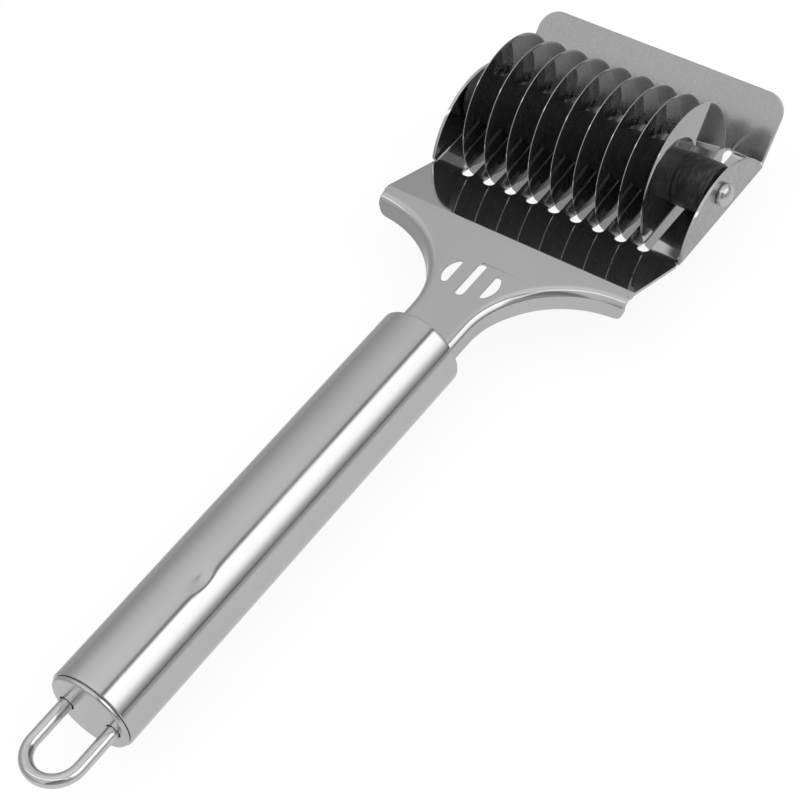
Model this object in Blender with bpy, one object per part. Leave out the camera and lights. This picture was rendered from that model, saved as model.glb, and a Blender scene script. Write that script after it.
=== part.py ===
"""Noodle cutter: nine thin steel discs on an axle, in a pressed steel head, on a steel tube handle.

X runs along the axle, +Y points from the handle to the lip of the head, and +Z is up. The origin lies
under the middle of the whole tool, level with the bottom of the discs. Lengths are in metres.
The tool's pieces are laid out from the centre of the axle, and the handle's from its head end.
"""

import math

import bmesh
import bpy
from mathutils import Vector

# Clearances
SEAT_GAP = 0.0003
RUNNING_GAP = 0.0001
END_PLAY = 0.0007
OVERRUN = 0.002
MERGE = 0.000001

# Roller: cutting discs kept apart by spacers, with a bush at each end
DISC_COUNT = 9
DISC_PITCH = 0.0064
DISC_RADIUS = 0.0190
DISC_THICKNESS = 0.0005
DISC_EDGE = 0.0002
DISC_BEVEL = 0.0006
SPACER_RADIUS = 0.0067
BUSH_LENGTH = 0.00855
BUSH_COLLAR = 0.0012
BUSH_STEP = 0.0002

# Axle with a button head outside each ear
AXLE_RADIUS = 0.0020
HEAD_RADIUS = 0.0029
HEAD_RIM = 0.0009
HEAD_DOME = 0.0015

# Head: one sheet pressed into a lip, a slotted tray, a ramp and a neck. Drops are below the axle
SHEET = 0.0008
TRAY_DROP = 0.00764
NECK_DROP = 0.00052
TRAY_ROOM_NEAR = 0.0014
TRAY_ROOM_FAR = 0.00186
LIP_LENGTH = 0.0175
LIP_ANGLE = math.radians(40.6)
LIP_CORNER = 0.0053
RAMP_ANGLE = math.radians(21.4)
FAR_BEND = 0.0015
NEAR_BEND = 0.0100
UPPER_BEND = 0.0015

# Slots that the discs run through, each closer to its disc on the left and wider at the near end
SLOT_ROOM_LEFT = 0.0003
SLOT_ROOM_RIGHT = 0.00125
SLOT_ROOM_NEAR = 0.0007
SLOT_ROOM_FAR = 0.0012
SLOT_FLARE = 0.0010
SLOT_FLARE_LENGTH = 0.0052

# Half-moon ears, folded up a little outside the sheet's edge, with a small relief beside each end
EAR_OUTSET = 0.0007
EAR_TOP = 0.0052
EAR_END_HEIGHT = 0.0010
EAR_BEND = 0.0008
EAR_RELIEF = 0.0008

# Neck: concave sides with flanges folded down, running straight into the handle
SHOULDER_LENGTH = 0.0022
SHOULDER_TIP = 0.0003
SHOULDER_CORNER = 0.0006
SHOULDER_RELIEF = 0.00025
NECK_CURVE_LENGTH = 0.0259
FLANGE_DEPTH = 0.0049
FLANGE_BEND = 0.0025
FLANGE_END_ROUND = 0.0026
FLANGE_SPLAY = math.radians(15)
SPLAY_FADE = math.radians(30)
NECK_STRAIGHT = 0.00831
TANG_LENGTH = 0.0260
TANG_SIDE_ROOM = 0.0015

# Three decorative slots in the neck
NECK_SLOT_BACK = 0.0154
MIDDLE_SLOT_WIDTH = 0.0023
MIDDLE_SLOT_LENGTH = 0.0112
SIDE_SLOT_OFFSET = 0.00465
SIDE_SLOT_WIDTH = 0.00285
SIDE_SLOT_LENGTH = 0.0076
SIDE_SLOT_CORNER = 0.0008

# Handle tube, with its axis below the top of the neck, and the plug that grips the tang
TUBE_RADIUS = 0.01072
TUBE_WALL = 0.0008
TUBE_LENGTH = 0.1169
TUBE_EDGE = 0.0003
HANDLE_DROP = 0.00361
PLUG_RECESS = 0.0070
PLUG_END_WALL = 0.0030

# End cap
CAP_SETBACK = 0.00048
CAP_THICKNESS = 0.0008
CAP_FILLET = 0.0006
CAP_WEB = 0.0020
CAP_SPIGOT = 0.0080
CAP_WALL = 0.0006

# Hanging loop of round wire, which slides in two holes of the cap and is kept in by its swaged feet
WIRE_RADIUS = 0.0016
WIRE_HOLE_ROOM = 0.0003
FOOT_FLARE = 0.0002
FOOT_LENGTH = 0.0015
FOOT_SIDE_ROOM = 0.0003
LOOP_STRAIGHT = 0.01054
LOOP_DROP = 0.0012

# Fineness of the round shapes
DISC_SIDES = 48
TUBE_SIDES = 48
BORE_SIDES = 32
WIRE_SIDES = 12
LOOP_STEPS = 16
EAR_STEPS = 24
NECK_STEPS = 12
CORNER_STEPS = 4
SMOOTH_ANGLE = math.radians(35)

# Sizes that follow from those above
half_stack = (DISC_COUNT - 1) / 2 * DISC_PITCH + DISC_THICKNESS / 2
bore_radius = AXLE_RADIUS + RUNNING_GAP
ear_face = half_stack + SEAT_GAP + BUSH_LENGTH + END_PLAY + SHEET
half_width = ear_face - EAR_OUTSET
disc_chord = math.sqrt(DISC_RADIUS**2 - TRAY_DROP**2)
near_bend = disc_chord + TRAY_ROOM_NEAR
far_bend = disc_chord + TRAY_ROOM_FAR
upper_bend = near_bend + (TRAY_DROP - NECK_DROP) / math.tan(RAMP_ANGLE)
lip_end = far_bend + LIP_LENGTH * math.cos(LIP_ANGLE)
lip_top = LIP_LENGTH * math.sin(LIP_ANGLE) - TRAY_DROP
tube_bore = TUBE_RADIUS - TUBE_WALL
tang_half = tube_bore - TANG_SIDE_ROOM
neck_half = tang_half - FLANGE_BEND
neck_curve_width = half_width - SHOULDER_TIP - neck_half
shoulder_end = upper_bend + SHOULDER_LENGTH
neck_centre = shoulder_end + NECK_CURVE_LENGTH
handle_start = neck_centre + NECK_STRAIGHT
tang_end = handle_start + TANG_LENGTH
ear_fold = ear_face - SHEET - EAR_BEND
foot_radius = WIRE_RADIUS + WIRE_HOLE_ROOM + FOOT_FLARE
cap_hollow = tube_bore - SEAT_GAP - CAP_WALL
leg_half = math.sqrt((cap_hollow - foot_radius - FOOT_SIDE_ROOM) ** 2 - LOOP_DROP**2)
cap_face = TUBE_LENGTH + SEAT_GAP + CAP_THICKNESS
lip_reach = lip_end + SHEET * math.sin(LIP_ANGLE)
loop_reach = handle_start + cap_face + LOOP_STRAIGHT + leg_half + WIRE_RADIUS

for old in list(bpy.data.objects):
    bpy.data.objects.remove(old)


# Outlines
def arc(centre, radius, start, end, steps):
    """Points from one angle to another on a circle, both ends included."""
    angles = [start + (end - start) * step / steps for step in range(steps + 1)]
    return [
        (centre[0] + radius * math.cos(angle), centre[1] + radius * math.sin(angle)) for angle in angles
    ]


def rounded_corner(before, corner, after, radius, steps):
    """The arc that rounds a corner between two straight runs."""
    back = (before - corner).normalized()
    ahead = (after - corner).normalized()
    half = back.angle(ahead) / 2
    centre = corner + (back + ahead).normalized() * radius / math.sin(half)
    first = corner + back * radius / math.tan(half) - centre
    last = corner + ahead * radius / math.tan(half) - centre
    turn = math.atan2(first.x * last.y - first.y * last.x, first.dot(last))
    start = math.atan2(first.y, first.x)
    return [Vector(point) for point in arc(centre, radius, start, start + turn, steps)]


def stadium(centre_y, centre_x, width, length):
    """A slot's outline with half-round ends, its length along Y."""
    run = (length - width) / 2
    far = arc((centre_x, centre_y + run), width / 2, 0, math.pi, CORNER_STEPS * 2)
    near = arc((centre_x, centre_y - run), width / 2, math.pi, 2 * math.pi, CORNER_STEPS * 2)
    return far + near


def value_at(points, place):
    """Linear reading of a list of (place, value), whose places fall from first to last."""
    for (place_a, value_a), (place_b, value_b) in zip(points, points[1:]):
        if place >= place_b:
            return value_a + (value_b - value_a) * (place_a - place) / (place_a - place_b)
    return points[-1][1]


# Materials
def material(name, shade, roughness, metallic):
    made = bpy.data.materials.new(name)
    made.use_nodes = True
    surface = made.node_tree.nodes["Principled BSDF"]
    surface.inputs["Base Color"].default_value = (shade, shade, shade, 1)
    surface.inputs["Roughness"].default_value = roughness
    surface.inputs["Metallic"].default_value = metallic
    return made


disc_steel = material("polished_disc_steel", 0.72, 0.08, 1)
sheet_steel = material("pressed_sheet_steel", 0.58, 0.25, 1)
rivet_steel = material("bright_rivet_steel", 0.68, 0.20, 1)
tube_steel = material("satin_tube_steel", 0.56, 0.32, 1)
cap_steel = material("satin_cap_steel", 0.55, 0.30, 1)
wire_steel = material("polished_wire_steel", 0.66, 0.12, 1)
black_plastic = material("black_plastic", 0.015, 0.35, 0)
plug_plastic = material("grey_plug_plastic", 0.10, 0.60, 0)


# Objects
def axis_empty(name, parent, location, rotation=(0, 0, 0)):
    made = bpy.data.objects.new(name, None)
    made.parent = parent
    made.location = location
    made.rotation_euler = rotation
    bpy.context.scene.collection.objects.link(made)
    return made


def place(name, mesh, parent, location=(0, 0, 0), rotation=(0, 0, 0)):
    made = bpy.data.objects.new(name, mesh)
    made.parent = parent
    made.location = location
    made.rotation_euler = rotation
    bpy.context.scene.collection.objects.link(made)
    return made


def finished_mesh(name, bm, surface):
    mesh = bpy.data.meshes.new(name)
    bm.to_mesh(mesh)
    bm.free()
    mesh.materials.append(surface)
    mesh.shade_smooth()
    mesh.set_sharp_from_angle(angle=SMOOTH_ANGLE)
    return mesh


def turned_mesh(name, profile, sides, surface, closed):
    """A shape turned about local Z from (radius, height) points. A closed profile leaves a bore."""
    bm = bmesh.new()
    points = [bm.verts.new((radius, 0, height)) for radius, height in profile]
    pairs = list(zip(points, points[1:]))
    if closed:
        pairs.append((points[-1], points[0]))
    edges = [bm.edges.new(pair) for pair in pairs]
    bmesh.ops.spin(
        bm,
        geom=points + edges,
        axis=(0, 0, 1),
        cent=(0, 0, 0),
        angle=2 * math.pi,
        steps=sides,
        use_merge=True,
    )
    bmesh.ops.remove_doubles(bm, verts=bm.verts, dist=MERGE)
    bmesh.ops.recalc_face_normals(bm, faces=bm.faces)
    return finished_mesh(name, bm, surface)


def add_prism(bm, outline, bottom, top):
    """An outline in XY, extruded from one height to another."""
    base = bm.faces.new([bm.verts.new((x, y, bottom)) for x, y in outline])
    risen = bmesh.ops.extrude_face_region(bm, geom=[base])["geom"]
    corners = [item for item in risen if isinstance(item, bmesh.types.BMVert)]
    bmesh.ops.translate(bm, verts=corners, vec=(0, 0, top - bottom))


def cut(target, name, bm):
    """Cuts the closed shapes in bm, given in the target's own frame, out of the target."""
    bmesh.ops.recalc_face_normals(bm, faces=bm.faces)
    mesh = bpy.data.meshes.new(name)
    bm.to_mesh(mesh)
    bm.free()
    cutter = place(name, mesh, target.parent, target.location, target.rotation_euler)
    cutter.hide_render = True
    cutter.display_type = "WIRE"
    boolean = target.modifiers.new(name, "BOOLEAN")
    boolean.operation = "DIFFERENCE"
    boolean.solver = "EXACT"
    boolean.object = cutter


# The tool's frame: the axle's centre, at a height that stands the discs on the ground
axle_centre = axis_empty("axle_centre", None, (0, (loop_reach - lip_reach) / 2, DISC_RADIUS))
roller_axis = axis_empty("roller_axis", axle_centre, (0, 0, 0), (0, math.pi / 2, 0))
handle_axis = axis_empty(
    "handle_axis", axle_centre, (0, -handle_start, -NECK_DROP - HANDLE_DROP), (math.pi / 2, 0, 0)
)


# Cutting discs
disc_profile = [
    (bore_radius, -DISC_THICKNESS / 2),
    (DISC_RADIUS - DISC_BEVEL, -DISC_THICKNESS / 2),
    (DISC_RADIUS, -DISC_EDGE / 2),
    (DISC_RADIUS, DISC_EDGE / 2),
    (DISC_RADIUS - DISC_BEVEL, DISC_THICKNESS / 2),
    (bore_radius, DISC_THICKNESS / 2),
]
disc_mesh = turned_mesh("disc", disc_profile, DISC_SIDES, disc_steel, closed=True)
disc_places = [(number - (DISC_COUNT - 1) / 2) * DISC_PITCH for number in range(DISC_COUNT)]
for number, along in enumerate(disc_places, start=1):
    place(f"disc_{number}", disc_mesh, roller_axis, (0, 0, along))


# Spacers between the discs
spacer_half = (DISC_PITCH - DISC_THICKNESS) / 2 - SEAT_GAP
spacer_profile = [
    (bore_radius, -spacer_half),
    (SPACER_RADIUS, -spacer_half),
    (SPACER_RADIUS, spacer_half),
    (bore_radius, spacer_half),
]
spacer_mesh = turned_mesh("spacer", spacer_profile, BORE_SIDES, black_plastic, closed=True)
for number, along in enumerate(disc_places[:-1], start=1):
    place(f"spacer_{number}", spacer_mesh, roller_axis, (0, 0, along + DISC_PITCH / 2))


# End bushes, each with a slightly smaller collar towards the ear
bush_start = half_stack + SEAT_GAP
bush_profile = [
    (bore_radius, 0),
    (SPACER_RADIUS, 0),
    (SPACER_RADIUS, BUSH_LENGTH - BUSH_COLLAR),
    (SPACER_RADIUS - BUSH_STEP, BUSH_LENGTH - BUSH_COLLAR),
    (SPACER_RADIUS - BUSH_STEP, BUSH_LENGTH),
    (bore_radius, BUSH_LENGTH),
]
bush_mesh = turned_mesh("end_bush", bush_profile, BORE_SIDES, black_plastic, closed=True)
place("end_bush_right", bush_mesh, roller_axis, (0, 0, bush_start))
place("end_bush_left", bush_mesh, roller_axis, (0, 0, -bush_start), (math.pi, 0, 0))


# Axle, riveted over into a domed head outside each ear
head_seat = ear_face + SEAT_GAP
dome_ball = (HEAD_RADIUS**2 + HEAD_DOME**2) / (2 * HEAD_DOME)
dome_centre = head_seat + HEAD_RIM + HEAD_DOME - dome_ball
dome_rise = math.asin(HEAD_RADIUS / dome_ball)
dome = arc((0, dome_centre), dome_ball, math.pi / 2 - dome_rise, math.pi / 2, CORNER_STEPS)
right_end = [(AXLE_RADIUS, head_seat), (HEAD_RADIUS, head_seat), *dome[:-1], (0, dome[-1][1])]
left_end = [(radius, -height) for radius, height in reversed(right_end)]
axle_mesh = turned_mesh("axle", left_end + right_end, BORE_SIDES, rivet_steel, closed=False)
place("axle", axle_mesh, roller_axis)


# Head sheet: its upper face is laid out in lines across the sheet, then thickened downwards
lip_corner_y = lip_end - LIP_CORNER * math.cos(LIP_ANGLE)
ear_half = (near_bend + far_bend) / 2
ear_rise = EAR_TOP + TRAY_DROP
ear_radius = (ear_half**2 + ear_rise**2) / (2 * ear_rise)
ear_centre = EAR_TOP - ear_radius
ear_end = math.sqrt(ear_radius**2 - (EAR_END_HEIGHT - TRAY_DROP - ear_centre) ** 2)

# The sheet's height along Y, from the lip to the end of the tang
corners = [
    Vector((lip_end, lip_top)),
    Vector((far_bend, -TRAY_DROP)),
    Vector((-near_bend, -TRAY_DROP)),
    Vector((-upper_bend, -NECK_DROP)),
    Vector((-tang_end, -NECK_DROP)),
]
sheet_path = [corners[0]]
for number, radius in enumerate((FAR_BEND, NEAR_BEND, UPPER_BEND), start=1):
    before, corner, after = corners[number - 1 : number + 2]
    sheet_path += rounded_corner(before, corner, after, radius, CORNER_STEPS)
sheet_path.append(corners[-1])

# The sheet's half width along Y, to its edge or to the start of a fold
lip_curve = arc((0, half_width - LIP_CORNER), LIP_CORNER, 0, math.pi / 2, CORNER_STEPS * 2)
sheet_edge = [(lip_corner_y + along * math.cos(LIP_ANGLE), width) for along, width in lip_curve]
sheet_edge += [(ear_end + EAR_RELIEF, half_width), (ear_end, ear_fold)]
sheet_edge += [(-ear_end, ear_fold), (-ear_end - EAR_RELIEF, half_width)]
tip_centre = (-shoulder_end + SHOULDER_RELIEF + SHOULDER_CORNER, half_width - SHOULDER_CORNER)
sheet_edge += arc(tip_centre, SHOULDER_CORNER, math.pi / 2, math.pi, CORNER_STEPS)
neck_turns = [math.pi / 2 * (1 + step / NECK_STEPS) for step in range(NECK_STEPS + 1)]
for turn in neck_turns:
    width = neck_half + neck_curve_width * (1 + math.cos(turn))
    sheet_edge.append((NECK_CURVE_LENGTH * math.sin(turn) - neck_centre, width))
sheet_edge.append((-tang_end, neck_half))


def ear_points(y, height):
    """The fold and the top of the right ear at one place along Y."""
    fold = arc((ear_fold, height + EAR_BEND), EAR_BEND, -math.pi / 2, 0, CORNER_STEPS)[1:]
    top = ear_centre + math.sqrt(ear_radius**2 - y**2)
    return [Vector((x, y, z)) for x, z in fold] + [Vector((ear_face - SHEET, y, top))]


def flange_points(y, turn):
    """The fold and the lower edge of the right flange, where the neck's side has turned that far."""
    from_start = neck_curve_width * (turn - math.pi / 2)
    short_of_round = max(FLANGE_END_ROUND - from_start, 0)
    depth = FLANGE_DEPTH - FLANGE_END_ROUND + math.sqrt(FLANGE_END_ROUND**2 - short_of_round**2)
    splay = FLANGE_SPLAY * min((math.pi - turn) / SPLAY_FADE, 1)
    fold = arc((0, -FLANGE_BEND), FLANGE_BEND, math.pi / 2, splay, CORNER_STEPS)[1:]
    foot_out = fold[-1][0] + (depth + fold[-1][1]) * math.tan(splay)
    slope = Vector((math.cos(turn) * NECK_CURVE_LENGTH, math.sin(turn) * neck_curve_width, 0))
    outward = -slope.normalized()
    side = Vector((neck_half + neck_curve_width * (1 + math.cos(turn)), y, -NECK_DROP))
    return [side + outward * out + Vector((0, 0, down)) for out, down in [*fold, (foot_out, -depth)]]


def sheet_stations():
    """Places along Y that need a line across the sheet, from the lip to the tang."""
    needed = [y for y, width in sheet_edge]
    needed += [ear_end * math.cos(math.pi * step / EAR_STEPS) for step in range(1, EAR_STEPS)]
    bends = [y for y, height in sheet_path[1:-1]]
    apart = [y for y in bends if min(abs(y - other) for other in needed) > SEAT_GAP]
    return sorted(needed + apart, reverse=True)


sheet = bmesh.new()
neck_turn_at = [(NECK_CURVE_LENGTH * math.sin(turn) - neck_centre, turn) for turn in neck_turns]
lines = []
for y in sheet_stations():
    height = value_at(sheet_path, y)
    right = [Vector((value_at(sheet_edge, y), y, height))]
    if abs(y) <= ear_end:
        right += ear_points(y, height)
    elif y <= neck_turn_at[0][0]:
        right += flange_points(y, value_at(neck_turn_at, y))
    left = [Vector((-point.x, point.y, point.z)) for point in right]
    lines.append([[sheet.verts.new(point) for point in side] for side in (left, right)])
for (left_a, right_a), (left_b, right_b) in zip(lines, lines[1:]):
    sheet.faces.new((left_a[0], left_b[0], right_b[0], right_a[0]))
    for step in range(min(len(right_a), len(right_b)) - 1):
        sheet.faces.new((right_a[step], right_b[step], right_b[step + 1], right_a[step + 1]))
        sheet.faces.new((left_a[step + 1], left_b[step + 1], left_b[step], left_a[step]))
head_plate = place("head_plate", finished_mesh("head_plate", sheet, sheet_steel), axle_centre)
thicken = head_plate.modifiers.new("sheet_thickness", "SOLIDIFY")
thicken.thickness = SHEET
thicken.offset = -1
thicken.use_even_offset = True

# One slot for each disc, from the ramp to the foot of the lip. Its left edge slants out at the near end
slot_left = -DISC_THICKNESS / 2 - SLOT_ROOM_LEFT
slot_right = DISC_THICKNESS / 2 + SLOT_ROOM_RIGHT
far_round = (slot_right - slot_left) / 2
near_round = far_round + SLOT_FLARE / 2
slot_far = DISC_RADIUS + SLOT_ROOM_FAR - far_round
slot_near = near_round - DISC_RADIUS - SLOT_ROOM_NEAR
slot_outline = arc((slot_right - far_round, slot_far), far_round, 0, math.pi, CORNER_STEPS * 2)
slot_outline.append((slot_left, slot_near + SLOT_FLARE_LENGTH))
slot_outline += arc(
    (slot_right - near_round, slot_near), near_round, math.pi, 2 * math.pi, CORNER_STEPS * 2
)
slots = bmesh.new()
for along in disc_places:
    outline = [(along + x, y) for x, y in slot_outline]
    add_prism(slots, outline, -TRAY_DROP - SHEET - OVERRUN, 0)
cut(head_plate, "disc_slots", slots)

# Slots in the neck: a straight one, and one on each side with an outer edge that bulges
neck_slot_y = -upper_bend - NECK_SLOT_BACK
neck_slot_floor = -NECK_DROP - SHEET - OVERRUN
neck_slot_roof = -NECK_DROP + OVERRUN
corner_reach = SIDE_SLOT_LENGTH / 2 - SIDE_SLOT_CORNER
bulge_width = SIDE_SLOT_WIDTH - SIDE_SLOT_CORNER
bulge_radius = (bulge_width**2 + corner_reach**2 - SIDE_SLOT_CORNER**2) / (
    2 * (SIDE_SLOT_WIDTH - 2 * SIDE_SLOT_CORNER)
)
bulge_turn = math.asin(corner_reach / (bulge_radius - SIDE_SLOT_CORNER))
bulge_centre = (SIDE_SLOT_OFFSET + SIDE_SLOT_WIDTH - bulge_radius, neck_slot_y)
corner_x = SIDE_SLOT_OFFSET + SIDE_SLOT_CORNER
side_slot = arc(bulge_centre, bulge_radius, -bulge_turn, bulge_turn, CORNER_STEPS * 2)
side_slot += arc(
    (corner_x, neck_slot_y + corner_reach), SIDE_SLOT_CORNER, bulge_turn, math.pi, CORNER_STEPS
)[1:]
side_slot += arc(
    (corner_x, neck_slot_y - corner_reach), SIDE_SLOT_CORNER, math.pi, 2 * math.pi - bulge_turn, CORNER_STEPS
)[:-1]
neck_slots = bmesh.new()
middle_slot = stadium(neck_slot_y, 0, MIDDLE_SLOT_WIDTH, MIDDLE_SLOT_LENGTH)
for outline in (middle_slot, side_slot, [(-x, y) for x, y in side_slot]):
    add_prism(neck_slots, outline, neck_slot_floor, neck_slot_roof)
cut(head_plate, "neck_slots", neck_slots)

# One hole through both ears for the axle
axle_hole = bmesh.new()
bmesh.ops.create_cone(
    axle_hole,
    cap_ends=True,
    segments=BORE_SIDES,
    radius1=AXLE_RADIUS + SEAT_GAP,
    radius2=AXLE_RADIUS + SEAT_GAP,
    depth=2 * (ear_face + OVERRUN),
)
bmesh.ops.rotate(axle_hole, verts=axle_hole.verts, matrix=roller_axis.rotation_euler.to_matrix())
cut(head_plate, "axle_hole", axle_hole)


# Handle tube, open at both ends
tube_profile = [
    (tube_bore, 0),
    (TUBE_RADIUS - TUBE_EDGE, 0),
    (TUBE_RADIUS, TUBE_EDGE),
    (TUBE_RADIUS, TUBE_LENGTH - TUBE_EDGE),
    (TUBE_RADIUS - TUBE_EDGE, TUBE_LENGTH),
    (tube_bore, TUBE_LENGTH),
]
place("handle_tube", turned_mesh("handle_tube", tube_profile, TUBE_SIDES, tube_steel, closed=True), handle_axis)


# Plug inside the tube, with a channel that grips the tang of the neck
plug_length = TANG_LENGTH - PLUG_RECESS + PLUG_END_WALL
plug_radius = tube_bore - SEAT_GAP
plug_profile = [(0, 0), (plug_radius, 0), (plug_radius, plug_length), (0, plug_length)]
plug_mesh = turned_mesh("tang_plug", plug_profile, TUBE_SIDES, plug_plastic, closed=False)
tang_plug = place("tang_plug", plug_mesh, handle_axis, (0, 0, PLUG_RECESS))
channel_half = tang_half + SEAT_GAP
channel_foot = HANDLE_DROP - FLANGE_DEPTH - SEAT_GAP
tongue_half = tang_half - SHEET - SEAT_GAP
fold_centre = (neck_half, HANDLE_DROP - FLANGE_BEND)
outer_fold = arc(fold_centre, FLANGE_BEND + SEAT_GAP, 0, math.pi / 2, CORNER_STEPS)
inner_fold = arc(fold_centre, FLANGE_BEND - SHEET - SEAT_GAP, math.pi / 2, 0, CORNER_STEPS)
right_channel = [*inner_fold, (tongue_half, channel_foot), (channel_half, channel_foot), *outer_fold]
left_channel = [(-x, y) for x, y in reversed(right_channel)]
channel = bmesh.new()
add_prism(channel, right_channel + left_channel, -OVERRUN, TANG_LENGTH - PLUG_RECESS + SEAT_GAP)
cut(tang_plug, "tang_channel", channel)


# End cap: a flat face with a rounded rim on the tube's end, and a hollow spigot inside the tube
cap_radius = TUBE_RADIUS - CAP_SETBACK
cap_rim = arc((cap_radius - CAP_FILLET, CAP_THICKNESS - CAP_FILLET), CAP_FILLET, math.pi / 2, 0, CORNER_STEPS)
cap_profile = [
    (0, CAP_THICKNESS),
    *cap_rim,
    (cap_radius, 0),
    (tube_bore - SEAT_GAP, 0),
    (tube_bore - SEAT_GAP, -CAP_SPIGOT),
    (cap_hollow, -CAP_SPIGOT),
    (cap_hollow, CAP_THICKNESS - CAP_WEB),
    (0, CAP_THICKNESS - CAP_WEB),
]
cap_mesh = turned_mesh("end_cap", cap_profile, TUBE_SIDES, cap_steel, closed=False)
end_cap = place("end_cap", cap_mesh, handle_axis, (0, 0, TUBE_LENGTH + SEAT_GAP))
wire_hole = WIRE_RADIUS + WIRE_HOLE_ROOM
wire_holes = bmesh.new()
for side in (-1, 1):
    outline = arc((side * leg_half, -LOOP_DROP), wire_hole, 0, 2 * math.pi, WIRE_SIDES * 2)[:-1]
    add_prism(wire_holes, outline, CAP_THICKNESS - CAP_WEB - OVERRUN, CAP_THICKNESS + OVERRUN)
cut(end_cap, "wire_holes", wire_holes)


# Hanging loop: two straight legs and a half-round bend, drawn from the foot of one leg to the other
foot_end = -CAP_WEB - SEAT_GAP - FOOT_LENGTH
foot_top = -CAP_WEB - SEAT_GAP
left_leg = [(foot_end, foot_radius), (foot_top, foot_radius), (foot_top, WIRE_RADIUS), (0, WIRE_RADIUS)]
loop_stops = [(-leg_half, height, math.pi, radius) for height, radius in left_leg]
for step in range(LOOP_STEPS + 1):
    turn = math.pi * (1 - step / LOOP_STEPS)
    bend_x = leg_half * math.cos(turn)
    bend_z = LOOP_STRAIGHT + leg_half * math.sin(turn)
    loop_stops.append((bend_x, bend_z, turn, WIRE_RADIUS))
loop_stops += [(leg_half, height, 0, radius) for height, radius in reversed(left_leg)]
wire = bmesh.new()
rings = []
for x, z, turn, radius in loop_stops:
    section = arc((0, 0), radius, 0, 2 * math.pi, WIRE_SIDES)[:-1]
    rings.append(
        [wire.verts.new((x + out * math.cos(turn), up, z + out * math.sin(turn))) for out, up in section]
    )
for ring_a, ring_b in zip(rings, rings[1:]):
    for side in range(WIRE_SIDES):
        wire.faces.new((ring_a[side - 1], ring_a[side], ring_b[side], ring_b[side - 1]))
wire.faces.new(rings[0])
wire.faces.new(rings[-1])
bmesh.ops.recalc_face_normals(wire, faces=wire.faces)
place("hang_loop", finished_mesh("hang_loop", wire, wire_steel), handle_axis, (0, -LOOP_DROP, cap_face))
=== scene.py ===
"""Noodle cutter: a roller of thin steel discs in a pressed steel head, on a steel tube handle.

X runs along the axle, +Y points from the handle to the lip of the head, and +Z is up. All lengths are
in metres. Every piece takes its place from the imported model, and its smaller sizes from its own section.
"""

import math

import bmesh
import bpy
from mathutils import Matrix, Vector


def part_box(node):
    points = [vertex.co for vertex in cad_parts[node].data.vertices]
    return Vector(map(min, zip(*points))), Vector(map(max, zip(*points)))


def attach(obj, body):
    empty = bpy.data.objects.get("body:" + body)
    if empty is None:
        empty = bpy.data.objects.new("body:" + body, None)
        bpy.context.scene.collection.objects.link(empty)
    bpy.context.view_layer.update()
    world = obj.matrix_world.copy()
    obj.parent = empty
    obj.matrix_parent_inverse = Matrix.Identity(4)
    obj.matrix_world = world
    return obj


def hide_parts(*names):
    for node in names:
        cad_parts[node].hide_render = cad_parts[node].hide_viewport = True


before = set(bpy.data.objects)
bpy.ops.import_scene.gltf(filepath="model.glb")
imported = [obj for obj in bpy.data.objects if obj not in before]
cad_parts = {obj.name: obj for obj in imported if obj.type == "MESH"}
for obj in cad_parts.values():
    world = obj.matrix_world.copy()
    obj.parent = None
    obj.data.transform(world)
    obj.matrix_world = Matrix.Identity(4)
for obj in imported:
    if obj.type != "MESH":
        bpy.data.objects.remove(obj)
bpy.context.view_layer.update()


# Camera, floor and light
# The cutter lies on a white floor. The camera looks down on its right side from behind, along a line
# found from the picture. A long soft box stands to the right and a strip lamp behind the camera, and
# the rest of the light is the pale room.
class Signal:
    """One output of a node. Sums, differences and products of signals and numbers add Math nodes."""

    def __init__(self, tree, socket):
        self.tree = tree
        self.socket = socket

    @classmethod
    def node(cls, tree, kind, settings=None, sockets=None, output=0):
        """Adds a node: its settings first, a ramp's stops among them, then its sockets' values or links."""
        made = tree.nodes.new(kind)
        for name, value in (settings or {}).items():
            if name == "stops":
                points = made.color_ramp.elements
                while len(points) < len(value):
                    points.new(1)
                for point, (place, shade) in zip(points, value):
                    point.position = place
                    point.color = (shade, shade, shade, 1)
            else:
                setattr(made, name, value)
        for key, value in (sockets or {}).items():
            if isinstance(value, Signal):
                tree.links.new(value.socket, made.inputs[key])
            else:
                made.inputs[key].default_value = value
        return cls(tree, made.outputs[output] if len(made.outputs) else None)

    def math(self, operation, *terms):
        """Adds a Math node on these terms."""
        return Signal.node(self.tree, "ShaderNodeMath", {"operation": operation}, dict(enumerate(terms)))

    def __add__(self, other):
        return self.math("ADD", self, other)

    def __radd__(self, other):
        return self.math("ADD", other, self)

    def __sub__(self, other):
        return self.math("SUBTRACT", self, other)

    def __rsub__(self, other):
        return self.math("SUBTRACT", other, self)

    def __mul__(self, other):
        return self.math("MULTIPLY", self, other)

    def __rmul__(self, other):
        return self.math("MULTIPLY", other, self)

    def rise(self, start, end):
        """0 below start, 1 above end, and a smooth rise between them. It falls where start is above end."""
        return Signal.node(
            self.tree,
            "ShaderNodeMapRange",
            {"interpolation_type": "SMOOTHSTEP"},
            {"Value": self, "From Min": start, "From Max": end},
        )


def added(name, data):
    """A new object in the scene."""
    made = bpy.data.objects.new(name, data)
    bpy.context.scene.collection.objects.link(made)
    return made


lens_length = 109.73
sensor_width = 36
camera_place = (0.25541, -0.26224, 0.43227)
camera_turn = (0.707266, 0.111795, 0.632053)
camera_data = bpy.data.cameras.new("camera")
camera_data.lens = lens_length
camera_data.sensor_width = sensor_width
camera = added("camera", camera_data)
camera.location = camera_place
camera.rotation_euler = camera_turn
bpy.context.scene.camera = camera
bpy.context.scene.view_settings.view_transform = "Standard"

floor_half = 2.0
floor_mesh = bpy.data.meshes.new("floor")
floor_corners = [(x * floor_half, y * floor_half, 0) for x, y in ((-1, -1), (1, -1), (1, 1), (-1, 1))]
floor_mesh.from_pydata(floor_corners, [], [(0, 1, 2, 3)])
floor = added("floor", floor_mesh)

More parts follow.
